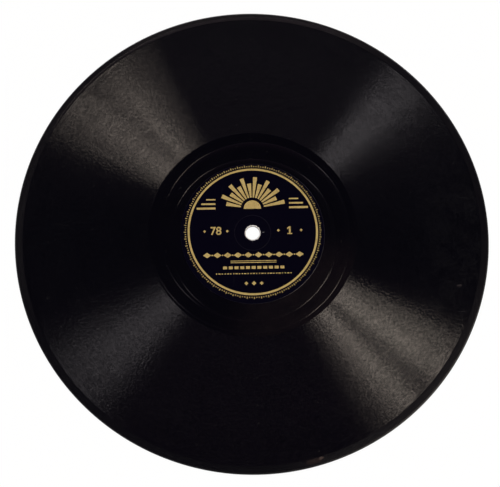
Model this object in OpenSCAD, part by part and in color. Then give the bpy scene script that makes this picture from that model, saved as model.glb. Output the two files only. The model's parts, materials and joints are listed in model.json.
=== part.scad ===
// Ten-inch shellac record, pressed as a laminate: a coarse core between two paper discs,
// a fine facing that carries the grooves on each side, and a paper label pressed into each facing.
// Millimetres. The origin lies on the spindle axis, on the surface that the disc rests on, with +Z up.
// Seen from above, +X points to the right of the top label and +Y to its top.

/* [Disc] */
// Diameter of the disc
disc_d = 250; // [180:1:305]
// Thickness at the smooth land between the grooves
disc_t = 2.2; // [2:0.05:3]
// Radius of the rounded rim, above and below
edge_r = 0.9; // [0.4:0.05:0.95]
// Width of the smooth margin between the rim and the recorded band
margin_w = 4.3; // [2.5:0.1:8]

/* [Spindle hole] */
// Diameter of the spindle hole
bore_d = 7.3; // [7.2:0.05:8]
// Radius of the rounded mouth of the hole, where the label is pressed into it
mouth_r = 0.42; // [0.25:0.01:0.46]

/* [Labels] */
// Diameter of the label
label_d = 76.2; // [70:0.1:90]
// Thickness of the label paper
label_t = 0.12; // [0.08:0.01:0.18]
// Depth of the label's face below the land
label_sink = 0.03; // [0.01:0.01:0.06]
// Diameter of the ring that the press leaves round the hole
press_ring_d = 19; // [14:0.5:30]
// Width of the press ring
press_ring_w = 0.5; // [0.3:0.05:0.8]
// Depth of the press ring
press_ring_depth = 0.05; // [0.02:0.01:0.07]

/* [Laminations] */
// Thickness of each fine facing, over the paper
facing_t = 0.4; // [0.35:0.01:0.6]
// Thickness of each backing paper
paper_t = 0.12; // [0.08:0.01:0.2]
// Distance from the edge of the paper to the rim, where facing and core bond directly
paper_inset = 2.5; // [1.5:0.1:6]
// Diameter of the hole in each backing paper
paper_hole_d = 12; // [10:0.5:20]

/* [Grooves] */
// Width of the lead-in, lead-out and stopping grooves at the land
groove_w = 0.2; // [0.12:0.01:0.3]
// Depth of those grooves
groove_depth = 0.08; // [0.05:0.01:0.12]
// Mean depth of the recorded band below the land
band_depth = 0.04; // [0.02:0.01:0.07]
// Width of the plain margin between the rounded rim and the start of the lead-in groove
lead_in_clear = 0.8; // [0.3:0.1:1.2]
// Width of the land between the end of the lead-in groove and the recorded band
lead_in_stop = 0.7; // [0.4:0.1:1]
// Direction from the axis at which the lead-in groove starts, in degrees
lead_in_from = 65; // [0:1:360]
// Angle that the lead-in groove turns through
lead_in_span = 90; // [60:5:90]
// Width of the land between the far side of the stopping groove and the recorded band
lead_out_w = 8.3; // [5:0.1:12]
// Direction from the axis at which the lead-out groove leaves the recorded band
lead_out_from = 148; // [0:1:360]
// Angle that the lead-out groove turns through on its way to the stopping groove
lead_out_span = 480; // [450:1:540]
// Distance of the stopping groove's centre from the axis
trip_offset = 3.2; // [2:0.1:4]
// Direction of the stopping groove's centre from the axis
trip_from = 274; // [0:1:360]
// Width of the land between the label and the near side of the stopping groove
trip_clear = 2.5; // [1:0.1:5]

/* [Hidden] */
$fn = 180;

core_colour = "#3a2b26";
paper_colour = "#b59a6e";
facing_colour = "#141416";
label_colour = "#1b1b2b";

disc_r = disc_d / 2;
bore_r = bore_d / 2;
label_r = label_d / 2;
press_ring_r = press_ring_d / 2;
paper_hole_r = paper_hole_d / 2;
paper_r = disc_r - paper_inset;

// Levels of the layers, counted from the surface that the disc rests on
core_bottom = facing_t + paper_t;
core_top = disc_t - core_bottom;
label_face = disc_t - label_sink;

// Centre of the arc over which the label turns down into the hole
lip_r = bore_r + mouth_r;
lip_z = label_face - mouth_r;

// Rings of the groove layout, from the label outwards
trip_r = label_r + trip_clear + trip_offset;
band_in_r = trip_r + trip_offset + lead_out_w;
band_out_r = disc_r - margin_w;
lead_in_r = disc_r - edge_r - lead_in_clear;

// How far a cutting shape reaches past the surface that it cuts
past = 0.2;

// Half section of the whole disc, from the hole to the rounded rim
module disc_half() {
    translate([bore_r, 0])
        square([disc_r - edge_r - bore_r, disc_t]);
    translate([disc_r - 2 * edge_r, edge_r])
        square([2 * edge_r, disc_t - 2 * edge_r]);
    for (z = [edge_r, disc_t - edge_r])
        translate([disc_r - edge_r, z])
            circle(edge_r);
}

// The part of the disc's half section between two levels
module layer_half(low, high) {
    intersection() {
        disc_half();
        translate([0, low])
            square([disc_r, high - low]);
    }
}

// Half section of the seat that the label is pressed into, with the rounded mouth of the hole
module label_bed_half() {
    translate([lip_r, label_face - label_t])
        square([label_r - lip_r, label_t + label_sink + past]);
    difference() {
        translate([0, lip_z])
            square([lip_r, mouth_r + label_sink + past]);
        translate([lip_r, lip_z])
            circle(mouth_r - label_t);
    }
}

// Half section of the top facing: over the paper, under the label, with the recorded band let in
module facing_half() {
    difference() {
        layer_half(core_top, disc_t);
        translate([paper_hole_r, core_top])
            square([paper_r - paper_hole_r, paper_t]);
        label_bed_half();
        translate([band_in_r, disc_t - band_depth])
            square([band_out_r - band_in_r, band_depth + past]);
    }
}

// Section of one groove, with its mouth on the origin's level
module groove_section() {
    polygon([
        [0, -groove_depth],
        [groove_w / 2, 0],
        [groove_w / 2, past],
        [-groove_w / 2, past],
        [-groove_w / 2, 0]
    ]);
}

function unit(angle) = [cos(angle), sin(angle)];

// Distance from the axis to the stopping groove, in a given direction
function trip_reach(angle) =
    trip_offset * cos(angle - trip_from)
    + sqrt(pow(trip_r, 2) - pow(trip_offset * sin(angle - trip_from), 2));

// Centre of a quarter arc of a spiral that closes in by step at each quarter turn
function arc_centre(k, step, from) =
    k == 0
        ? -step / 2 * (unit(from + 90) + unit(from + 180))
        : arc_centre(k - 1, step, from) + step * unit(from + 90 * k);

// A groove that winds inwards as a row of quarter arcs, each starting along the one before it
module spiral_groove(start_r, end_r, from, span) {
    step = (start_r - end_r) * 90 / span;
    for (k = [0 : ceil(span / 90) - 1])
        translate(concat(arc_centre(k, step, from), [disc_t]))
            rotate(from + 90 * k)
                rotate_extrude(angle = min(90, span - 90 * k))
                    translate([start_r - step / 2 - k * step, 0])
                        groove_section();
}

// The lead-in groove, across the margin towards the recorded band
module lead_in_groove() {
    spiral_groove(lead_in_r, band_out_r + lead_in_stop, lead_in_from, lead_in_span);
}

// The lead-out groove, from the recorded band to the stopping groove
module lead_out_groove() {
    spiral_groove(band_in_r, trip_reach(lead_out_from + lead_out_span), lead_out_from, lead_out_span);
}

// The off-centre stopping groove, whose swing stops the player
module trip_groove() {
    translate(concat(trip_offset * unit(trip_from), [disc_t]))
        rotate_extrude()
            translate([trip_r, 0])
                groove_section();
}

module top_facing_form() {
    difference() {
        rotate_extrude()
            facing_half();
        trip_groove();
        lead_out_groove();
        lead_in_groove();
    }
}

module top_paper_form() {
    translate([0, 0, core_top])
        rotate_extrude()
            translate([paper_hole_r, 0])
                square([paper_r - paper_hole_r, paper_t]);
}

// The label: a flat ring with the press ring sunk in its face, and a lip turned down into the hole
module top_label_form() {
    rotate_extrude() {
        difference() {
            translate([lip_r, label_face - label_t])
                square([label_r - lip_r, label_t]);
            translate([press_ring_r, label_face])
                polygon([
                    [0, -press_ring_depth],
                    [press_ring_w / 2, 0],
                    [press_ring_w / 2, past],
                    [-press_ring_w / 2, past],
                    [-press_ring_w / 2, 0]
                ]);
        }
        translate([lip_r, lip_z])
            intersection() {
                difference() {
                    circle(mouth_r);
                    circle(mouth_r - label_t);
                }
                translate([-mouth_r, 0])
                    square(mouth_r);
            }
    }
}

// Turns a piece of the upper side over to the lower side
module turned_over() {
    translate([0, 0, disc_t])
        rotate([180, 0, 0])
            children();
}

module core() {
    color(core_colour)
        rotate_extrude()
            layer_half(core_bottom, core_top);
}

module top_backing_paper() {
    color(paper_colour)
        top_paper_form();
}

module bottom_backing_paper() {
    color(paper_colour)
        turned_over()
            top_paper_form();
}

module top_facing() {
    color(facing_colour)
        top_facing_form();
}

module bottom_facing() {
    color(facing_colour)
        turned_over()
            top_facing_form();
}

module top_label() {
    color(label_colour)
        top_label_form();
}

module bottom_label() {
    color(label_colour)
        turned_over()
            top_label_form();
}

core();
top_backing_paper();
bottom_backing_paper();
top_facing();
bottom_facing();
top_label();
bottom_label();
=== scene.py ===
# Looks of a ten-inch shellac record: grooved facings, printed paper labels, worn rim and hole.
# Metres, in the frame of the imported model: the spindle axis is Z and the disc rests on the level zero.
import json
import math

import bmesh
import bpy
import numpy as np
from mathutils import Matrix, Vector


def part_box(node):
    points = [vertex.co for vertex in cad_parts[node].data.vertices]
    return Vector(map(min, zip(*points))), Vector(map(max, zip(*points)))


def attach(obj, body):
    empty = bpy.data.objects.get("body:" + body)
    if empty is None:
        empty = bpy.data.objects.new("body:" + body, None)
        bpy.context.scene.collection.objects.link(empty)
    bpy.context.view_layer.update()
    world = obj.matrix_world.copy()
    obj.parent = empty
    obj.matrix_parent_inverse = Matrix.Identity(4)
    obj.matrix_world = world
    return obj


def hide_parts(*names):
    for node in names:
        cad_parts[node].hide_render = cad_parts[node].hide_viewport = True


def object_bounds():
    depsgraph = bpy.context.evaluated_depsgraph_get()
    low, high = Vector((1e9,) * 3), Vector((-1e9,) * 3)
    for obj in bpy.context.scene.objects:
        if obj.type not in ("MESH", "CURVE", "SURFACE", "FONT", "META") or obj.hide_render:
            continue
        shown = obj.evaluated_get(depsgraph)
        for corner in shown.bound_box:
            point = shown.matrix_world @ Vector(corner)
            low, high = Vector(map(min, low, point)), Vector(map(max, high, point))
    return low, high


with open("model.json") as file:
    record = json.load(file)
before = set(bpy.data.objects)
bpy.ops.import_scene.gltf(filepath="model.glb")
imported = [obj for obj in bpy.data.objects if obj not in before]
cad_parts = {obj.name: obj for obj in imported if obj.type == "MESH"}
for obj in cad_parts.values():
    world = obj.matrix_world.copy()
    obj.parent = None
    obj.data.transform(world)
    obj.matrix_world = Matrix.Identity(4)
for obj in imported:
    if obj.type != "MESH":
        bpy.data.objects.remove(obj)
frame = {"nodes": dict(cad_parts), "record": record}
cad_low, cad_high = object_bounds()

mm = 0.001

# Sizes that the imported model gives
disc_r = cad_high.x
disc_t = cad_high.z
core_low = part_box("core")[0].z
core_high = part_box("core")[1].z
paper_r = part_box("top_backing_paper")[1].x
paper_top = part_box("top_backing_paper")[1].z
label_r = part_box("top_label")[1].x
label_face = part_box("top_label")[1].z
lip_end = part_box("top_label")[0].z
bore_r = frame["record"]["mounts"][0]["dims"]["r_mm"] * mm

# Sizes of the layers that the boxes don't show
edge_r = 0.9 * mm
rim_r = disc_r - edge_r
paper_hole_r = 6 * mm
label_t = 0.12 * mm
mouth_r = label_face - lip_end
lip_r = bore_r + mouth_r
press_ring_r = 9.5 * mm
press_ring_half = 0.25 * mm
press_ring_depth = 0.05 * mm
label_edge_w = 0.3 * mm
label_edge_drop = 0.064 * mm
label_edge_low = label_face - label_edge_drop

# Faces of a facing above this level lie on its outer side
outer_level = paper_top + 0.1 * mm

# Layout of the grooves in the smooth land
groove_half = 0.12 * mm
groove_depth = 0.11 * mm
groove_shoulder = 0.03 * mm
shoulder_depth_share = 0.06
margin_w = 4.3 * mm
trip_clear = 2.5 * mm
trip_offset = 3.2 * mm
trip_from = math.radians(274)
lead_out_w = 8.3 * mm
lead_in_clear = 0.8 * mm
lead_in_stop = 0.7 * mm
trip_r = label_r + trip_clear + trip_offset
band_in_r = trip_r + trip_offset + lead_out_w
band_out_r = disc_r - margin_w
lead_in_r = rim_r - lead_in_clear
lead_in_end_r = band_out_r + lead_in_stop
lead_in_from = math.radians(65)
lead_in_span = math.radians(90)
lead_in_end_share = 0.05
lead_out_from = math.radians(148)
lead_out_span = math.radians(480)

# The recorded groove: three minutes of playing time
band_turns = 234
band_pitch = (band_out_r - band_in_r) / band_turns
band_half = 0.095 * mm
band_depth = 0.142 * mm
band_unevenness = 0.1

# Columns of the meshes round the disc
fine_columns = 324
band_columns = 108
columns_per_band = fine_columns // band_columns
core_columns = 360
label_columns = 240

# Limits for the meshes: points that are welded, and edges that stay sharp
weld_gap = 0.0001 * mm
print_weld_gap = 0.0005 * mm
crease_angle = math.radians(32)

# Nicks in the label, and two creases painted as faint pale lines, a painted glint along each: centre in
# millimetres, turn in degrees, half sizes in millimetres, colour
label_nicks_and_crease_glints = (
    ((5.6, 0.2), 4, (0.9, 0.14), (0.3, 0.29, 0.28)),
    ((-0.2, -4.9), 95, (0.5, 0.14), (0.12, 0.115, 0.11)),
    ((-10.4, -24.5), 88, (6.5, 0.16), (0.006, 0.006, 0.009)),
    ((-15.8, 23.5), 80, (3.2, 0.14), (0.006, 0.006, 0.009)),
)

# Chips in the margin and scuffs across the recorded band, given in the same way
margin_chips = (
    ((28.4, -118.8), 14, (5.6, 1.7), (0.014, 0.0095, 0.0092)),
    ((32.0, -117.4), 14, (1.9, 1.0), (0.045, 0.031, 0.027)),
)
band_scuffs = (
    ((107.5, -30.2), 8, (2.2, 0.8), (0.02, 0.0165, 0.0175)),
    ((108.0, -44.0), 2, (4.0, 0.3), (0.012, 0.011, 0.012)),
    ((-101, 6.2), -13, (8, 0.4), (0.004, 0.0038, 0.0046)),
)

# Stretches where the margin is painted paler: bearing, near limit and far limit in degrees, strength
paler_margin_stretches = (
    (92, 15, 45, 0.85),
    (165, 10, 40, 0.3),
    (312, 5, 40, 0.45),
)

# The camera, as the photograph sees the disc
view_bearing = math.radians(-6.2)
view_elevation = math.radians(76.16)
view_distance = 584.9 * mm
view_aim = Vector((-0.93 * mm, -5.93 * mm, 0))
view_roll = math.radians(5.09)
view_lens = 79.87
sensor_width = 36

# The strip lamps that light the sheen on the grooves, each with the bearing of its fan, the spread, tilt and
# reach that sheen_lamp explains, all in degrees, and its radiance and tint
lamp_distance = 1.5
sheen_middle = 88 * mm
warm = (1.0, 0.86, 0.74)
neutral = (1.0, 0.93, 0.96)
strip_lamps = {
    "front_strip": (316.8, 6.8, 18.1, 19.5, 4.6, warm),
    "front_glow": (315.1, 14.0, 18.1, 19.5, 2.9, warm),
    "front_right_strip": (328.9, 10.6, 18.1, 19.5, 3.9, warm),
    "front_right_glow": (330.8, 22.0, 18.1, 19.5, 3.75, warm),
    "back_right_strip": (49.5, 18, 16, 21, 2.2, neutral),
    "back_right_glow": (50.8, 25, 16, 21, 0.7, neutral),
    "back_left_strip": (126.5, 11, 20, 10, 1.9, warm),
}

# The square lamp overhead, which lights the labels and the floor but isn't mirrored
fill_bearing = 200
fill_elevation = 75
fill_distance = 1.6
fill_side = 1.2
fill_radiance = 4.2
fill_tint = (1, 1, 1)

# The floor
floor_half = 4
floor_gap = 0.05 * mm


# Node helpers

class Nodes:
    """Adds nodes to one tree. An input is a value or another node's socket."""

    def __init__(self, owner):
        owner.use_nodes = True
        self.tree = owner.node_tree
        self.tree.nodes.clear()

    def add(self, kind, inputs=None, **settings):
        node = self.tree.nodes.new(kind)
        for name, value in settings.items():
            setattr(node, name, value)
        for name, value in (inputs or {}).items():
            if isinstance(value, bpy.types.NodeSocket):
                self.tree.links.new(value, node.inputs[name])
            else:
                node.inputs[name].default_value = value
        return node

    def math(self, operation, first, second=0.0, third=0.0):
        inputs = {0: first, 1: second, 2: third}
        return self.add("ShaderNodeMath", inputs, operation=operation).outputs[0]

    def fade(self, value, start, end):
        """0 where the value is at start, 1 where it is at end, smooth between."""
        inputs = {"Value": value, "From Min": start, "From Max": end}
        return self.add("ShaderNodeMapRange", inputs, interpolation_type="SMOOTHSTEP").outputs[0]

    def mix(self, factor, first, second):
        inputs = {"Factor": factor, 6: first, 7: second}
        return self.add("ShaderNodeMix", inputs, data_type="RGBA").outputs[2]

    def place(self):
        return self.add("ShaderNodeTexCoord").outputs["Object"]

    def ramp(self, value, stops):
        """Colours that follow a value, each stop a place from 0 to 1 and its colour."""
        node = self.add("ShaderNodeValToRGB", {0: value})
        bands = node.color_ramp.elements
        while len(bands) < len(stops):
            bands.new(0.5)
        for band, (position, tint) in zip(bands, stops):
            band.position = position
            band.color = tint
        return node.outputs[0]

    def noise(self, place, scale, detail=2.0, roughness=0.5):
        inputs = {"Vector": place, "Scale": scale, "Detail": detail, "Roughness": roughness}
        return self.add("ShaderNodeTexNoise", inputs).outputs["Fac"]

    def specks(self, place, scale, share, size):
        """1 on scattered grains, one in the given share of the cells, each a share of its cell in size."""
        inputs = {"Vector": place, "Scale": scale}
        cells = self.add("ShaderNodeTexVoronoi", inputs, voronoi_dimensions="2D")
        chosen = self.add("ShaderNodeSeparateColor", {0: cells.outputs["Color"]}).outputs[0]
        chosen = self.math("LESS_THAN", chosen, share)
        return self.math("MULTIPLY", chosen, self.fade(cells.outputs["Distance"], size, size / 2))

    def flat(self, place):
        """The place with its height left out."""
        return self.add("ShaderNodeVectorMath", {0: place, 1: (1, 1, 0)}, operation="MULTIPLY").outputs[0]

    def radius(self, place):
        inputs = {0: self.flat(place)}
        return self.add("ShaderNodeVectorMath", inputs, operation="LENGTH").outputs["Value"]

    def outward(self, place):
        """The direction from the axis to a place."""
        inputs = {0: self.flat(place)}
        return self.add("ShaderNodeVectorMath", inputs, operation="NORMALIZE").outputs[0]

    def round_place(self, place, along, across):
        """Coordinates for streaks: steps per radian round the axis, and steps per metre outwards."""
        inputs = {0: self.outward(place), "Scale": along}
        turned = self.add("ShaderNodeVectorMath", inputs, operation="SCALE").outputs[0]
        height = self.math("MULTIPLY", self.radius(place), across)
        rise = self.add("ShaderNodeCombineXYZ", {"Z": height}).outputs[0]
        return self.add("ShaderNodeVectorMath", {0: turned, 1: rise}, operation="ADD").outputs[0]

    def facing_bearing(self, place, bearing, near, far):
        """1 within near degrees of a bearing seen from the axis, 0 beyond far degrees."""
        turn = math.radians(bearing)
        inputs = {0: self.outward(place), 1: (math.cos(turn), math.sin(turn), 0)}
        lined_up = self.add("ShaderNodeVectorMath", inputs, operation="DOT_PRODUCT").outputs["Value"]
        return self.fade(lined_up, math.cos(math.radians(far)), math.cos(math.radians(near)))

    def patch(self, place, centre, turn, half_sizes):
        """Distance from the middle of an oval, with 1 at its edge. In millimetres and degrees."""
        inputs = {
            "Vector": place,
            "Location": (centre[0] * mm, centre[1] * mm, 0),
            "Rotation": (0, 0, math.radians(turn)),
            "Scale": (half_sizes[0] * mm, half_sizes[1] * mm, 1),
        }
        local = self.add("ShaderNodeMapping", inputs, vector_type="TEXTURE").outputs[0]
        return self.add("ShaderNodeVectorMath", {0: local}, operation="LENGTH").outputs["Value"]

    def mark(self, place, shape, fray, fray_share, edges):
        """1 inside an oval patch, 0 outside, between two edges that a noise frays."""
        reach = self.math("MULTIPLY_ADD", fray, fray_share, self.patch(place, *shape))
        return self.fade(reach, *edges)

    def bump(self, height, distance):
        inputs = {"Height": height, "Distance": distance, "Strength": 1.0}
        return self.add("ShaderNodeBump", inputs).outputs[0]

    def surface(self, inputs):
        shader = self.add("ShaderNodeBsdfPrincipled", inputs)
        self.add("ShaderNodeOutputMaterial", {"Surface": shader.outputs[0]})


def colour(red, green, blue):
    return (red, green, blue, 1.0)


def grey(level):
    return colour(level, level, level)


# Materials

def shellac_base(nodes, place):
    """Black of the fine facing, a little uneven, with a few grains of dust."""
    mottle = nodes.noise(place, 60, 4)
    base = nodes.mix(mottle, colour(0.0009, 0.0008, 0.0018), colour(0.0014, 0.0012, 0.0026))
    coarse = nodes.specks(place, 130, 0.14, 0.045)
    fine = nodes.specks(place, 320, 0.25, 0.09)
    base = nodes.mix(fine, base, colour(0.006, 0.0057, 0.006))
    return nodes.mix(coarse, base, colour(0.017, 0.016, 0.0155))


def shellac_land():
    """The smooth land: rubbed on the margin that fingers hold and painted paler at some bearings, with a
    painted sheen on the dead wax, dull at the rim.
    """
    material = bpy.data.materials.new("facing_compound")
    nodes = Nodes(material)
    place = nodes.place()
    base = shellac_base(nodes, place)
    streak = nodes.noise(nodes.round_place(place, 40, 900), 1, 3, 0.6)
    held = nodes.fade(nodes.radius(place), band_out_r - 0.1 * mm, band_out_r + 0.4 * mm)
    # The margin is rubbed in patches, and painted paler still in stretches at the listed bearings
    patchy = nodes.math("MULTIPLY_ADD", nodes.noise(place, 22, 2), 0.3, 0.1)
    for bearing, near, far, strength in paler_margin_stretches:
        stretch = nodes.facing_bearing(place, bearing, near, far)
        patchy = nodes.math("MULTIPLY_ADD", stretch, strength, patchy)
    rubbed = nodes.math("MULTIPLY", nodes.math("MULTIPLY", held, patchy), streak)
    base = nodes.mix(rubbed, base, colour(0.017, 0.0155, 0.0165))
    ragged = nodes.noise(place, 500, 3)
    for *shape, tint in margin_chips:
        chip = nodes.mark(place, shape, ragged, 0.7, (1.35, 0.75))
        base = nodes.mix(nodes.math("MULTIPLY", chip, held), base, colour(*tint))
    # Painted sheen: the dead wax is painted paler towards the front lamps, broken up by a noise
    paler_share = nodes.math("SUBTRACT", nodes.facing_bearing(place, 304, 5, 60), held)
    paler_share = nodes.math("MULTIPLY", nodes.math("MAXIMUM", paler_share, 0), nodes.noise(place, 180, 4, 0.7))
    base = nodes.mix(paler_share, base, colour(0.0065, 0.0045, 0.0055))
    handled = nodes.fade(nodes.noise(place, 35, 3), 0.2, 0.8)
    rim = nodes.fade(nodes.radius(place), rim_r - 0.1 * mm, rim_r + 0.15 * mm)
    roughness = nodes.math("MULTIPLY_ADD", handled, 0.03, 0.11)
    roughness = nodes.math("MULTIPLY_ADD", held, 0.03, roughness)
    nodes.surface({
        "Base Color": base,
        "Roughness": nodes.math("MULTIPLY_ADD", rim, 0.25, roughness),
        "IOR": 1.55,
        "Specular Tint": nodes.mix(rim, grey(1), grey(0.4)),
        "Normal": nodes.bump(nodes.noise(place, 300, 3), 0.002 * mm),
    })
    return material


def band_dust(nodes, place):
    """Share of dust in the recorded band: clouds on the outer turns, thickest on the right."""
    outer = nodes.fade(nodes.radius(place), 84 * mm, 108 * mm)
    settled = nodes.math("MULTIPLY_ADD", nodes.facing_bearing(place, -10, 5, 30), 0.8, 0.2)
    cloud = nodes.fade(nodes.noise(place, 90, 5, 0.7), 0.35, 0.75)
    paler_share = nodes.math("MULTIPLY", nodes.math("MULTIPLY", outer, settled), cloud)
    return nodes.math("MULTIPLY", paler_share, nodes.fade(nodes.noise(place, 800, 2, 0.6), 0.2, 0.8))


def band_gloss(nodes, place):
    """Gloss of the recorded band, uneven along the groove and duller on the outer turns."""
    glint = nodes.fade(nodes.noise(nodes.round_place(place, 50, 1400), 1, 1), 0.3, 0.7)
    worn = nodes.fade(nodes.radius(place), 96 * mm, 116 * mm)
    dull = nodes.mix(worn, grey(0.5), grey(0.38))
    bright = nodes.mix(worn, grey(1), grey(0.82))
    return nodes.mix(glint, dull, bright)


def shellac_grooves():
    """The recorded band: its walls scatter light across the groove, and loud stretches along it too."""
    material = bpy.data.materials.new("facing_grooves")
    nodes = Nodes(material)
    place = nodes.place()
    round_axis = nodes.add("ShaderNodeTangent", direction_type="RADIAL", axis="Z").outputs[0]
    loud = nodes.fade(nodes.noise(nodes.round_place(place, 30, 1200), 1, 1), 0.25, 0.75)
    grain = nodes.noise(place, 1050, 0)
    base = shellac_base(nodes, place)
    base = nodes.mix(band_dust(nodes, place), base, colour(0.006, 0.0058, 0.0069))
    ragged = nodes.noise(place, 900, 2)
    for *shape, tint in band_scuffs:
        base = nodes.mix(nodes.mark(place, shape, ragged, 0.9, (1.4, 0.7)), base, colour(*tint))
    nodes.surface({
        "Base Color": base,
        "Roughness": nodes.math("MULTIPLY_ADD", loud, 0.05, 0.14),
        "IOR": 1.63,
        "Specular Tint": band_gloss(nodes, place),
        "Anisotropic": 1.0,
        "Anisotropic Rotation": 0.25,
        "Tangent": round_axis,
        "Normal": nodes.bump(grain, 0.025 * mm),
    })
    return material


def shellac_core():
    material = bpy.data.materials.new("core_compound")
    nodes = Nodes(material)
    place = nodes.place()
    speckle = nodes.fade(nodes.noise(place, 2600, 4, 0.7), 0.35, 0.7)
    base = nodes.mix(speckle, colour(0.004, 0.003, 0.0028), colour(0.016, 0.011, 0.009))
    roughness = nodes.math("MULTIPLY_ADD", speckle, 0.2, 0.3)
    nodes.surface({
        "Base Color": base,
        "Roughness": roughness,
        "IOR": 1.5,
        "Normal": nodes.bump(nodes.noise(place, 3500, 3), 0.01 * mm),
    })
    return material


def kraft_paper():
    material = bpy.data.materials.new("backing_paper")
    nodes = Nodes(material)
    place = nodes.place()
    stretched = nodes.add("ShaderNodeMapping", {"Vector": place, "Scale": (1, 5, 1)}).outputs[0]
    fibre = nodes.noise(stretched, 700, 6, 0.7)
    base = nodes.mix(fibre, colour(0.3, 0.21, 0.11), colour(0.6, 0.46, 0.29))
    nodes.surface({
        "Base Color": base,
        "Roughness": 0.8,
        "Normal": nodes.bump(fibre, 0.02 * mm),
    })
    return material


def label_ink(nodes, place, fibre):
    """Blue-black ink, worn to the paper round the hole and at two nicks, with a painted glint along two
    creases.
    """
    ink = nodes.mix(fibre, colour(0.0006, 0.0004, 0.0028), colour(0.0011, 0.0007, 0.0048))
    frayed = nodes.noise(place, 1400, 3)
    # Pale nicks worn to the paper, and painted glints along the creases
    for *shape, tint in label_nicks_and_crease_glints:
        ink = nodes.mix(nodes.mark(place, shape, frayed, 0.8, (1.2, 0.7)), ink, colour(*tint))
    ragged = nodes.math("MULTIPLY_ADD", frayed, 0.8 * mm, nodes.radius(place))
    worn = nodes.fade(ragged, 4.7 * mm, 4.4 * mm)
    return nodes.mix(worn, ink, colour(0.62, 0.6, 0.57))


def pressed_paper():
    """Label paper that the press has burnished, at the ring round the hole and along the edge."""
    material = bpy.data.materials.new("pressed_paper")
    nodes = Nodes(material)
    place = nodes.place()
    fibre = nodes.noise(place, 1500, 5, 0.65)
    nodes.surface({
        "Base Color": label_ink(nodes, place, fibre),
        "Roughness": nodes.math("MULTIPLY_ADD", fibre, 0.1, 0.25),
        "Specular IOR Level": 0.4,
    })
    return material


def label_paper():
    material = bpy.data.materials.new("label_paper")
    nodes = Nodes(material)
    place = nodes.place()
    fibre = nodes.noise(place, 1500, 5, 0.65)
    nodes.surface({
        "Base Color": label_ink(nodes, place, fibre),
        "Roughness": nodes.math("MULTIPLY_ADD", fibre, 0.2, 0.35),
        "Specular IOR Level": 0.03,
        "Normal": nodes.bump(fibre, 0.004 * mm),
    })
    return material


def gold_print():
    material = bpy.data.materials.new("gold_print")
    nodes = Nodes(material)
    place = nodes.place()
    patch = nodes.noise(place, 250, 4)
    gold = nodes.mix(patch, colour(0.30, 0.21, 0.062), colour(0.49, 0.37, 0.145))
    rubbed = nodes.fade(nodes.noise(place, 1300, 4, 0.7), 0.52, 0.72)
    base = nodes.mix(rubbed, gold, colour(0.12, 0.08, 0.03))
    nodes.surface({
        "Base Color": base,
        "Roughness": 0.55,
        "Specular IOR Level": 0.35,
        "Normal": nodes.bump(nodes.noise(place, 2500, 2), 0.003 * mm),
    })
    return material


def pale_floor():
    """A white floor. A little of its paint stays in view, so that the object's shadow shows."""
    material = bpy.data.materials.new("pale_floor")
    nodes = Nodes(material)
    path = nodes.add("ShaderNodeLightPath")
    seen = nodes.math("MAXIMUM", path.outputs["Is Camera Ray"], path.outputs["Is Glossy Ray"])
    seen = nodes.math("MAXIMUM", seen, path.outputs["Is Transmission Ray"])
    paint = nodes.add("ShaderNodeBsdfDiffuse", {"Color": grey(0.95)})
    glow = nodes.add("ShaderNodeEmission", {"Color": grey(1), "Strength": 1.0})
    share = nodes.math("MULTIPLY", seen, 0.95)
    cover = nodes.add("ShaderNodeMixShader", {0: share, 1: paint.outputs[0], 2: glow.outputs[0]})
    nodes.add("ShaderNodeOutputMaterial", {"Surface": cover.outputs[0]})
    return material


# Mesh helpers

def turned_over():
    """Turns a piece of the upper side over to the lower side."""
    return Matrix.Translation((0, 0, disc_t)) @ Matrix.Rotation(math.pi, 4, "X")


def round_rows(rows, columns):
    """Points of rows, each a pair of radius and level, that run once round the axis and close."""
    angles = np.linspace(0, 2 * math.pi, columns + 1)
    points = np.empty((len(rows), columns + 1, 3))
    for row, (reach, level) in zip(points, rows):
        row[:, 0] = reach * np.cos(angles)
        row[:, 1] = reach * np.sin(angles)
        row[:, 2] = level
    return points


def strip_faces(first, rows, columns):
    """Faces between rows of points, where first is the number of the first point."""
    wide = columns + 1
    row, column = np.meshgrid(np.arange(rows - 1), np.arange(columns), indexing="ij")
    corner = (first + row * wide + column).ravel()
    return np.stack([corner, corner + wide, corner + wide + 1, corner + 1], axis=1).tolist()


def seam_faces(fine_first, band_first, outward):
    """Faces between a row of fine columns and a row of the recorded band's wider columns."""
    faces = []
    for column in range(band_columns):
        fine = [fine_first + column * columns_per_band + step for step in range(columns_per_band + 1)]
        band = [band_first + column, band_first + column + 1]
        outline = fine + band[::-1]
        faces.append(outline if outward else outline[::-1])
    return faces


def arc(centre, radius, start, end, steps):
    """Radius and level of points along an arc of a half section, with angles in degrees."""
    turns = np.radians(np.linspace(start, end, steps + 1))
    return [(centre[0] + radius * math.cos(turn), centre[1] + radius * math.sin(turn)) for turn in turns]


def add_piece(name, mesh, materials, node=None):
    for material in materials:
        mesh.materials.append(material)
    piece = bpy.data.objects.new(name, mesh)
    bpy.context.collection.objects.link(piece)
    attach(piece, "root")
    if node:
        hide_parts(node)


def mesh_from(name, points, faces, marks):
    """A closed mesh and its editable form, with a bake map whose places are given for each point."""
    mesh = bpy.data.meshes.new(name)
    mesh.from_pydata(points.tolist(), [], faces)
    layer = mesh.uv_layers.new(name="OFBake")
    corners = np.empty(len(mesh.loops), dtype=np.int32)
    mesh.loops.foreach_get("vertex_index", corners)
    layer.data.foreach_set("uv", marks[corners].astype(np.float32).ravel())
    form = bmesh.new()
    form.from_mesh(mesh)
    bmesh.ops.remove_doubles(form, verts=form.verts, dist=weld_gap)
    for face in form.faces:
        face.smooth = True
    return mesh, form


def sharpen(form, keep_smooth):
    """Makes the edges sharp that turn by more than the crease angle, apart from those to keep smooth."""
    for edge in form.edges:
        if not keep_smooth(edge) and edge.calc_face_angle(0) > crease_angle:
            edge.smooth = False


# The facings

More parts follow.
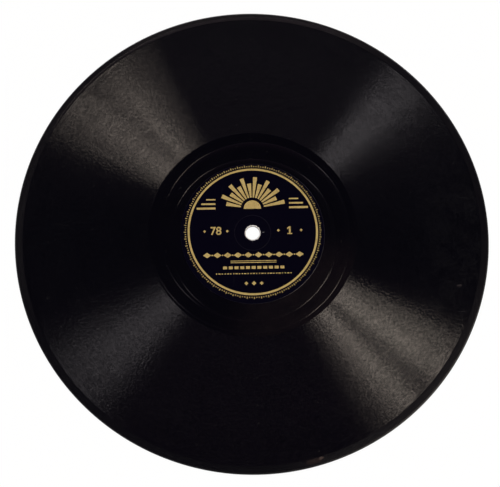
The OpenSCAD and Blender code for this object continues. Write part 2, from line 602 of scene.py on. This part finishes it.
def trip_reach(angle):
    """Distance from the axis to the off-centre stopping groove."""
    across = trip_offset * np.sin(angle - trip_from)
    return trip_offset * np.cos(angle - trip_from) + np.sqrt(trip_r ** 2 - across ** 2)


def groove_rows(centre, low, high):
    """Rows across one groove in the land, which closes up where it comes near either limit."""
    width = 2 * groove_half
    open_share = np.clip(np.minimum(centre - low, high - centre) / width, 0, 1)
    reach = groove_half + groove_shoulder
    section = (
        (-reach, 0),
        (-groove_half, shoulder_depth_share),
        (0, 1),
        (groove_half, shoulder_depth_share),
        (reach, 0),
    )
    rows = []
    for offset, depth in section:
        rows.append((np.clip(centre + offset, low, high), disc_t - depth * groove_depth * open_share))
    return rows


def land_rows(angles):
    """Rows from the edge of the label to the recorded band, with the stopping and lead-out grooves."""
    chamfer = 0.02 * mm
    recess = [
        (label_r, label_edge_low),
        (label_r + chamfer / 2, disc_t - chamfer),
        (label_r + chamfer, disc_t),
        (label_r + 2 * chamfer, disc_t),
    ]
    trip = groove_rows(trip_reach(angles), label_r, band_in_r)
    trip_edge = trip[-1][0]
    end = lead_out_from + lead_out_span
    step = (trip_reach(end) - band_in_r) / lead_out_span
    rows = recess + trip
    for lap in (1, 0):
        along = angles + lap * 2 * math.pi - lead_out_from
        rows += groove_rows(band_in_r + step * along, trip_edge, band_in_r)
    rows.append((band_in_r, disc_t))
    return rows


def band_shares():
    """Depth of the recorded groove at each turn and column, as a share of its mean.

    The end of each turn is as deep as the start of the turn before it, which it meets.
    """
    chance = np.random.default_rng(78)
    swing = chance.standard_normal((band_turns + 3, band_columns + 1))
    swing = 0.5 * swing[:-2] + 0.7 * swing[1:-1] + 0.5 * swing[2:]
    shares = 1 + band_unevenness * swing
    shares[1:, -1] = shares[:-1, 0]
    return np.clip(shares, 0.35, 1.65)


def band_rows(angles):
    """Rows across every turn of the recorded groove, from the inside outwards."""
    rows = []
    turned = (angles - lead_out_from) / (2 * math.pi)
    shares = band_shares()
    for turn in range(band_turns + 1):
        centre = band_in_r + band_pitch * (turn - turned)
        near = np.minimum(centre - band_in_r, band_out_r - centre)
        open_share = np.clip(near / (band_pitch / 2), 0, 1)
        for side, depth in ((-1, 0), (0, 1), (1, 0)):
            reach = np.clip(centre + side * band_half * open_share, band_in_r, band_out_r)
            rows.append((reach, disc_t - depth * band_depth * open_share * shares[turn]))
    return rows


def margin_rows(angles):
    """Rows from the recorded band over the margin and the rounded rim to the core."""
    rows = [(band_out_r, disc_t)]
    along = np.clip((angles - lead_in_from) / lead_in_span, 0, 1)
    centre = lead_in_r + (lead_in_end_r - lead_in_r) * along
    ends = np.clip(np.minimum(along, 1 - along) / lead_in_end_share, 0, 1)
    for reach, level in groove_rows(centre, band_out_r, rim_r):
        rows.append((reach, disc_t - (disc_t - level) * ends))
    rim_z = disc_t - edge_r
    low_turn = math.degrees(math.asin((core_high - rim_z) / edge_r))
    return rows + arc((rim_r, rim_z), edge_r, 90, low_turn, steps=7)


def under_rows():
    """Rows of the hidden underside, from the rim over the paper's pocket and the mouth to the label."""
    bed = label_face - label_t
    mouth = arc((lip_r, lip_end), mouth_r - label_t, 180, 90, steps=5)
    return [
        (paper_r, core_high),
        (paper_r, paper_top),
        (paper_hole_r, paper_top),
        (paper_hole_r, core_high),
        (bore_r, core_high),
        (bore_r, lip_end),
        *mouth,
        (label_r, bed),
    ]


def finish_facing(form):
    """Keeps the grooves smooth, makes the band's edges sharp and gives the band its own material."""
    smooth_from = label_r + 0.2 * mm
    on_circle = 0.001 * mm

    def keep_smooth(edge):
        reaches = [corner.co.xy.length for corner in edge.verts]
        high = min(corner.co.z for corner in edge.verts) > outer_level
        return high and min(reaches) > smooth_from and max(reaches) < rim_r

    sharpen(form, keep_smooth)
    for edge in form.edges:
        reaches = [corner.co.xy.length for corner in edge.verts]
        for circle in (band_in_r, band_out_r):
            if max(abs(reach - circle) for reach in reaches) < on_circle:
                edge.smooth = False
    for face in form.faces:
        middle = face.calc_center_median()
        in_band = band_in_r < middle.xy.length < band_out_r
        face.material_index = int(in_band and middle.z > outer_level)


def facing_mesh():
    """The facing in three blocks of rows, the land, the recorded band and the margin, and their seams."""
    fine = np.linspace(0, 2 * math.pi, fine_columns + 1)
    wide = np.linspace(0, 2 * math.pi, band_columns + 1)
    land = round_rows(land_rows(fine), fine_columns)
    band = round_rows(band_rows(wide), band_columns)
    margin = round_rows(margin_rows(fine) + under_rows() + [(label_r, label_edge_low)], fine_columns)
    blocks = [(land, fine_columns), (band, band_columns), (margin, fine_columns)]
    points = np.concatenate([block.reshape(-1, 3) for block, columns in blocks])
    firsts = np.cumsum([0] + [block.shape[0] * block.shape[1] for block, columns in blocks])
    rows_before = np.cumsum([0] + [block.shape[0] for block, columns in blocks])
    faces = []
    marks = []
    for (block, columns), first, before in zip(blocks, firsts, rows_before):
        faces += strip_faces(first, block.shape[0], columns)
        along, across = np.meshgrid(np.linspace(0, 1, columns + 1), before + np.arange(block.shape[0]))
        marks.append(np.stack([along.ravel(), across.ravel() / rows_before[-1]], axis=1))
    last_band_row = firsts[2] - (band_columns + 1)
    faces += seam_faces(firsts[1] - (fine_columns + 1), firsts[1], False)
    faces += seam_faces(firsts[2], last_band_row, True)
    mesh, form = mesh_from("facing", points, faces, np.concatenate(marks))
    finish_facing(form)
    form.to_mesh(mesh)
    form.free()
    return mesh


# The core and the labels

def lathe(name, profile, columns):
    """A closed round form from a closed half section that runs outwards along its upper side."""
    rows = profile + profile[:1]
    points = round_rows(rows, columns)
    lengths = np.cumsum([0] + [math.dist(start, end) for start, end in zip(rows, rows[1:])])
    along, across = np.meshgrid(np.linspace(0, 1, columns + 1), lengths / lengths[-1])
    marks = np.stack([along.ravel(), across.ravel()], axis=1)
    mesh, form = mesh_from(name, points.reshape(-1, 3), strip_faces(0, len(rows), columns), marks)
    sharpen(form, lambda edge: False)
    form.to_mesh(mesh)
    form.free()
    return mesh


def core_mesh():
    """The core, with a fine seam against each facing at the rim."""
    seam = 0.02 * mm
    rim_z = disc_t - edge_r
    turn = math.degrees(math.asin((core_high - seam - rim_z) / edge_r))
    high_arc = arc((rim_r, rim_z), edge_r, turn, 0, steps=6)
    low_arc = arc((rim_r, edge_r), edge_r, 0, -turn, steps=6)
    profile = [(bore_r, core_high), (high_arc[0][0] - seam, core_high)] + high_arc + low_arc
    profile += [(low_arc[-1][0] - seam, core_low), (bore_r, core_low)]
    return lathe("core", profile, core_columns)


def label_mesh():
    """The label, from its lip in the hole over the press ring to its edge, which the press turns down."""
    bed = label_face - label_t
    bevel = 0.06 * mm
    bevel_drop = 0.004 * mm
    edge_steps = 4
    ring_in = press_ring_r - press_ring_half
    ring_out = press_ring_r + press_ring_half
    ring_low = label_face - press_ring_depth
    profile = arc((lip_r, lip_end), mouth_r, 180, 90, steps=8)
    profile += [(5 * mm, label_face), (ring_in - bevel, label_face), (ring_in, label_face - bevel_drop)]
    profile += [(press_ring_r, ring_low)]
    profile += [(ring_out, label_face - bevel_drop), (ring_out + bevel, label_face)]
    profile += [(reach * mm, label_face) for reach in range(15, 36, 5)]
    for step in range(edge_steps + 1):
        share = step / edge_steps
        profile.append((label_r - label_edge_w * (1 - share), label_face - label_edge_drop * share ** 2))
    profile += [(label_r, bed)] + arc((lip_r, lip_end), mouth_r - label_t, 90, 180, steps=5)
    mesh = lathe("label", profile, label_columns)
    for face in mesh.polygons:
        reach = face.center.xy.length
        in_ring = abs(reach - press_ring_r) < press_ring_half
        at_edge = reach > label_r - label_edge_w
        face.material_index = int(face.center.z > bed and (in_ring or at_edge))
    return mesh


# The print on the labels

print_centre = Vector((0.1 * mm, 0.9 * mm))
print_low = label_face - 0.01 * mm
print_high = label_face + 0.012 * mm


class Print:
    """Collects flat printed shapes, in millimetres from the middle of the print, as thin closed solids."""

    def __init__(self):
        self.form = bmesh.new()

    def corner(self, x, y, level):
        return self.form.verts.new((x * mm + print_centre.x, y * mm + print_centre.y, level))

    def outline(self, points):
        """A solid over one outline that runs anticlockwise."""
        low = [self.corner(x, y, print_low) for x, y in points]
        high = [self.corner(x, y, print_high) for x, y in points]
        self.form.faces.new(high)
        self.form.faces.new(low[::-1])
        for here in range(len(points)):
            after = (here + 1) % len(points)
            self.form.faces.new((low[here], low[after], high[after], high[here]))

    def ring(self, inner, outer, steps):
        section = ((inner, print_low), (inner, print_high), (outer, print_high), (outer, print_low))
        turns = [2 * math.pi * step / steps for step in range(steps)]
        loops = []
        for reach, level in section:
            places = [(reach * math.cos(turn), reach * math.sin(turn)) for turn in turns]
            loops.append([self.corner(x, y, level) for x, y in places])
        for side in range(len(loops)):
            first = loops[side]
            second = loops[(side + 1) % len(loops)]
            for here in range(steps):
                after = (here + 1) % steps
                self.form.faces.new((first[here], second[here], second[after], first[after]))

    def bar(self, x, y, width, height):
        w = width / 2
        h = height / 2
        self.outline([(x - w, y - h), (x + w, y - h), (x + w, y + h), (x - w, y + h)])

    def lozenge(self, x, y, width, height):
        self.outline([(x + width / 2, y), (x, y + height / 2), (x - width / 2, y), (x, y - height / 2)])

    def dot(self, x, y, radius, steps=10):
        turns = [2 * math.pi * step / steps for step in range(steps)]
        self.outline([(x + radius * math.cos(turn), y + radius * math.sin(turn)) for turn in turns])

    def ray(self, x, y, angle, near, far, near_width, far_width):
        """A tapered bar that points away from a centre."""
        out = Vector((math.cos(angle), math.sin(angle)))
        side = Vector((-out.y, out.x))
        centre = Vector((x, y))
        corners = [
            centre + out * near - side * near_width / 2,
            centre + out * far - side * far_width / 2,
            centre + out * far + side * far_width / 2,
            centre + out * near + side * near_width / 2,
        ]
        self.outline([tuple(corner) for corner in corners])

    def number(self, digits, x, y, height):
        """Plain digits in Blender's own built-in letter shapes, made a little bolder."""
        height_share = 0.7
        bolder = 0.025
        words = bpy.data.curves.new("digits", "FONT")
        words.body = digits
        words.align_x = "CENTER"
        words.align_y = "CENTER"
        words.size = height / height_share * mm
        words.offset = bolder * height * mm
        words.extrude = (print_high - print_low) / 2
        holder = bpy.data.objects.new("digits", words)
        bpy.context.collection.objects.link(holder)
        bpy.context.view_layer.update()
        mesh = bpy.data.meshes.new_from_object(holder)
        middle = (print_high + print_low) / 2
        mesh.transform(Matrix.Translation((x * mm + print_centre.x, y * mm + print_centre.y, middle)))
        self.form.from_mesh(mesh)
        bpy.data.objects.remove(holder)
        bpy.data.curves.remove(words)
        bpy.data.meshes.remove(mesh)

    def figure_one(self, x, y):
        """The figure one, with a flag and a foot."""
        points = (
            (-1.3, -2.1), (1.3, -2.1), (1.3, -1.5), (0.45, -1.5), (0.45, 2.1), (-0.35, 2.1),
            (-1.35, 1.3), (-1.35, 0.5), (-0.45, 1.1), (-0.45, -1.5), (-1.3, -1.5),
        )
        self.outline([(x + across, y + up) for across, up in points])

    def mesh(self, name):
        bmesh.ops.remove_doubles(self.form, verts=self.form.verts, dist=print_weld_gap)
        mesh = bpy.data.meshes.new(name)
        self.form.to_mesh(mesh)
        self.form.free()
        return mesh


def spread(count, step):
    """Places of a row of like shapes, centred on zero."""
    return [(index - (count - 1) / 2) * step for index in range(count)]


def print_border(sheet):
    """A ring, and round it a circle of ticks of which each third one is longer."""
    sheet.ring(33.35, 34.4, 240)
    ticks = 180
    tick_start = 35.2
    tick_w = 0.4
    for tick in range(ticks):
        angle = 2 * math.pi * tick / ticks
        length = 1.2 if tick % 3 == 0 else 0.7
        sheet.ray(0, 0, angle, tick_start, tick_start + length, tick_w, tick_w)


def print_sun(sheet):
    """A half sun with rays of two lengths, and stripes on both sides of it."""
    sun_y = 12.2
    sun_r = 4.6
    steps = 24
    turns = [math.pi * step / steps for step in range(steps + 1)]
    sheet.outline([(sun_r * math.cos(turn), sun_y + sun_r * math.sin(turn)) for turn in turns])
    for step, angle in enumerate(np.radians(np.arange(12, 169, 12))):
        far = 17.5 if step % 2 == 0 else 14
        sheet.ray(0, sun_y, angle, 6.2, far, 0.8, 2.2)
    stripe_y = sun_y + 0.5
    stripe_start = 19.5
    for side in (-1, 1):
        for lift, end, height in ((0, 29.5, 1.1), (2.4, 27, 0.9), (4.8, 24.5, 0.7)):
            sheet.bar(side * (stripe_start + end) / 2, stripe_y + lift, end - stripe_start, height)


def print_numbers(sheet, side_number):
    """The playing speed on the left and the side number on the right, each between lozenges."""
    number_x = 19.5
    number_y = 0.2
    number_h = 4.2
    sheet.number("78", -number_x, number_y, number_h)
    if side_number == "1":
        sheet.figure_one(number_x, number_y)
    else:
        sheet.number(side_number, number_x, number_y, number_h)
    for x in (-25.5, -13.5, 13.5, 25.5):
        sheet.lozenge(x, number_y, 1.6, 1.6)


def print_rows(sheet):
    """Rows of lozenges, lines, bars and dots under the hole."""
    chain_y = -12.8
    for x in spread(10, 5.4):
        sheet.lozenge(x, chain_y, 4.4, 2.9)
    for x in spread(9, 5.4):
        sheet.dot(x, chain_y, 0.4)
    for y in (-16, -16.9):
        sheet.bar(0, y, 24, 0.35)
    for x in spread(11, 3):
        sheet.bar(x, -19.6, 2.1, 1.5)
    fine_y = -22.8
    for index, x in enumerate(spread(27, 1.5)):
        if index % 3 == 1:
            sheet.bar(x, fine_y, 1.2, 0.5)
        else:
            sheet.dot(x, fine_y, 0.35)
    for x, side in zip(spread(3, 4), (2, 2.4, 2)):
        sheet.lozenge(x, -28, side, side)


def label_print(name, side_number):
    """The print of one label: a generic design, in millimetres from the middle of the print."""
    sheet = Print()
    print_border(sheet)
    print_sun(sheet)
    print_numbers(sheet, side_number)
    print_rows(sheet)
    return sheet.mesh(name)


# The pieces

def build_record():
    """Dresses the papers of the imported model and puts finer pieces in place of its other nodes."""
    paper = kraft_paper()
    for node in ("top_backing_paper", "bottom_backing_paper"):
        cad_piece = frame["nodes"][node]
        cad_piece.data.materials.clear()
        cad_piece.data.materials.append(paper)
    add_piece("core_disc", core_mesh(), [shellac_core()], "core")
    facing = facing_mesh()
    label = label_mesh()
    shellac = [shellac_land(), shellac_grooves()]
    paper_label = [label_paper(), pressed_paper()]
    gold = gold_print()
    for side, number in (("top", "1"), ("bottom", "2")):
        meshes = (facing.copy(), label.copy(), label_print(side + "_print", number))
        if side == "bottom":
            for mesh in meshes:
                mesh.transform(turned_over())
        add_piece(side + "_grooved_facing", meshes[0], shellac, side + "_facing")
        add_piece(side + "_paper_label", meshes[1], paper_label, side + "_label")
        add_piece(side + "_label_print", meshes[2], [gold])


# The studio

def direction(azimuth, elevation):
    """A direction in degrees, with azimuth 0 to the camera's right and 90 away from it."""
    turn = math.radians(azimuth) + view_bearing
    lift = math.radians(elevation)
    return Vector((math.cos(lift) * math.cos(turn), math.cos(lift) * math.sin(turn), math.sin(lift)))


def view_place():
    """Where the camera stands."""
    return direction(-90, math.degrees(view_elevation)) * view_distance + Vector((0, 0, disc_t))


def lamp(name, place, axes, size, radiance, tint):
    """A flat rectangular lamp, given its place and the directions of its width, its height and its back."""
    light = bpy.data.lights.new(name, "AREA")
    light.shape = "RECTANGLE"
    light.size = size[0]
    light.size_y = size[1]
    light.energy = radiance * math.pi * size[0] * size[1]
    light.color = tint
    holder = bpy.data.objects.new(name, light)
    bpy.context.collection.objects.link(holder)
    holder.matrix_world = Matrix.Translation(place) @ Matrix(axes).transposed().to_4x4()
    holder.visible_camera = False
    return holder


def sheen_lamp(name, bearing, spread, tilt, reach, radiance, tint):
    """A strip lamp placed where the groove walls at one bearing mirror it to the camera.

    Its width lies square to the plane of the sight and the bearing, so the sheen is a fan with nearly
    straight sides, about seven tenths of spread wide. The walls that show the lamp's middle lean outwards
    by tilt, and reach is about half the angle that its height takes up.
    """
    outward = direction(bearing, 0)
    spot = outward * sheen_middle + Vector((0, 0, disc_t))
    sight = (view_place() - spot).normalized()
    lean = math.radians(tilt)
    wall = outward * math.sin(lean) + Vector((0, 0, math.cos(lean)))
    towards = 2 * sight.dot(wall) * wall - sight
    across = sight.cross(outward).normalized()
    width = 2 * lamp_distance * sight.dot(wall) * math.sin(lean) * math.radians(spread)
    height = 2 * lamp_distance * math.tan(math.radians(reach))
    axes = (across, towards.cross(across), towards)
    lamp(name, spot + towards * lamp_distance, axes, (width, height), radiance, tint)


def light_studio():
    for name, settings in strip_lamps.items():
        sheen_lamp(name, *settings)
    above = direction(fill_bearing, fill_elevation)
    level = above.cross(Vector((0, 0, 1))).normalized()
    axes = (level, above.cross(level), above)
    fill = lamp("fill", above * fill_distance, axes, (fill_side, fill_side), fill_radiance, fill_tint)
    fill.visible_glossy = False


def world_glow():
    """Dim surroundings that the disc mirrors: pale near the floor, dark at the sides and in front."""
    world = bpy.data.worlds.new("studio")
    bpy.context.scene.world = world
    nodes = Nodes(world)
    towards = nodes.add("ShaderNodeTexCoord").outputs["Generated"]
    parts = nodes.add("ShaderNodeSeparateXYZ", {0: towards})
    sky = nodes.ramp(parts.outputs["Z"], [
        (0.12, grey(1)),
        (0.3, colour(0.45, 0.43, 0.44)),
        (0.5, colour(0.135, 0.095, 0.125)),
        (0.85, colour(0.11, 0.066, 0.1)),
        (0.93, colour(0.04, 0.018, 0.024)),
        (0.985, colour(0.06, 0.045, 0.06)),
    ])
    sideways = nodes.fade(nodes.math("ABSOLUTE", parts.outputs["Y"]), 0.7, 0.3)
    raised = nodes.fade(parts.outputs["Z"], 0.3, 0.5)
    front = nodes.math("MULTIPLY", nodes.fade(parts.outputs["Y"], 0.1, -0.4), 0.85)
    shade = nodes.math("MULTIPLY", nodes.math("MAXIMUM", sideways, front), raised)
    sky = nodes.mix(shade, sky, colour(0.008, 0.008, 0.012))
    glow = nodes.add("ShaderNodeBackground", {"Color": sky, "Strength": 1.0})
    nodes.add("ShaderNodeOutputWorld", {"Surface": glow.outputs[0]})


def add_floor():
    form = bmesh.new()
    bmesh.ops.create_grid(form, x_segments=4, y_segments=4, size=floor_half)
    mesh = bpy.data.meshes.new("floor")
    form.to_mesh(mesh)
    form.free()
    mesh.materials.append(pale_floor())
    floor = bpy.data.objects.new("floor", mesh)
    floor.location.z = -floor_gap
    bpy.context.collection.objects.link(floor)


def add_camera():
    lens = bpy.data.cameras.new("camera")
    lens.sensor_width = sensor_width
    lens.lens = view_lens
    lens.clip_start = 0.01
    holder = bpy.data.objects.new("camera", lens)
    bpy.context.collection.objects.link(holder)
    reach = view_distance * math.cos(view_elevation)
    eye = Vector((0, -reach, view_distance * math.sin(view_elevation)))
    forward = (view_aim - eye).normalized()
    level = forward.cross(Vector((0, 1, 0))).normalized()
    rise = level.cross(forward)
    right = level * math.cos(view_roll) + rise * math.sin(view_roll)
    up = rise * math.cos(view_roll) - level * math.sin(view_roll)
    axes = Matrix((right, up, -forward)).transposed().to_4x4()
    turn = Matrix.Rotation(view_bearing, 4, "Z")
    upper_face = Matrix.Translation((0, 0, disc_t))
    holder.matrix_world = upper_face @ turn @ Matrix.Translation(eye) @ axes
    bpy.context.scene.camera = holder


bpy.context.scene.view_settings.view_transform = "Standard"
add_camera()
light_studio()
world_glow()
add_floor()
build_record()
